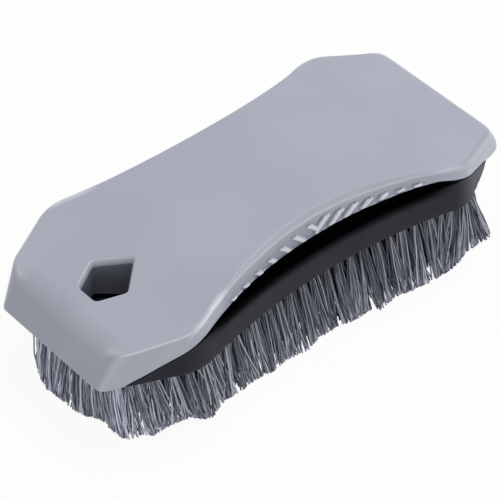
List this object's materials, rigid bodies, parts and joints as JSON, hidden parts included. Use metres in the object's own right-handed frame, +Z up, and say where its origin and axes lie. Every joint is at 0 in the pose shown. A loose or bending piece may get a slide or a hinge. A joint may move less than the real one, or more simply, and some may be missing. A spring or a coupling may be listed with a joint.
{
  "type": "hand carpet brush",
  "caption": "Waisted hand brush: an arched grey plastic handle shell with finger grips and a hang hole, on a black block of stiff bristle tufts trimmed level.",
  "frame": {"origin": "on the floor under the middle of the brush, at the level of the bristle tips", "axes": "+X along the brush's length, away from the end with the hang hole; +Z up, from the bristle tips to the handle shell; +Y across the brush"},
  "size_m": [0.1666, 0.0761, 0.0506],
  "materials": {
    "shell_plastic": "satin moulded polypropylene, fine texture, cool light grey",
    "block_plastic": "satin moulded plastic, black",
    "bristle_nylon": "stiff crimped filament, blue-grey"
  },
  "bodies": {
    "root": {"handle_shell": "shell_plastic", "brush_block": "block_plastic", "tuft_row_01": "bristle_nylon", "tuft_row_02_left": "bristle_nylon", "tuft_row_02_right": "bristle_nylon", "tuft_row_03_left": "bristle_nylon", "tuft_row_03_right": "bristle_nylon", "tuft_row_04_left": "bristle_nylon", "tuft_row_04_right": "bristle_nylon", "tuft_row_05_left": "bristle_nylon", "tuft_row_05_right": "bristle_nylon", "tuft_row_06_left": "bristle_nylon", "tuft_row_06_right": "bristle_nylon", "tuft_row_07_left": "bristle_nylon", "tuft_row_07_right": "bristle_nylon", "tuft_row_08": "bristle_nylon", "tuft_row_09": "bristle_nylon", "tuft_row_10": "bristle_nylon", "tuft_row_11": "bristle_nylon", "tuft_row_12": "bristle_nylon", "tuft_row_13": "bristle_nylon", "tuft_row_14": "bristle_nylon", "tuft_row_15": "bristle_nylon", "tuft_row_16": "bristle_nylon", "tuft_row_17": "bristle_nylon", "tuft_row_18": "bristle_nylon", "tuft_row_19": "bristle_nylon", "tuft_row_20": "bristle_nylon", "tuft_row_21": "bristle_nylon", "tuft_row_22": "bristle_nylon", "tuft_row_23": "bristle_nylon", "tuft_row_24": "bristle_nylon", "tuft_row_25": "bristle_nylon", "tuft_row_26": "bristle_nylon", "tuft_row_27": "bristle_nylon", "tuft_row_28": "bristle_nylon", "tuft_row_29": "bristle_nylon", "tuft_row_30": "bristle_nylon", "tuft_row_31": "bristle_nylon"}
  },
  "joints": []
}
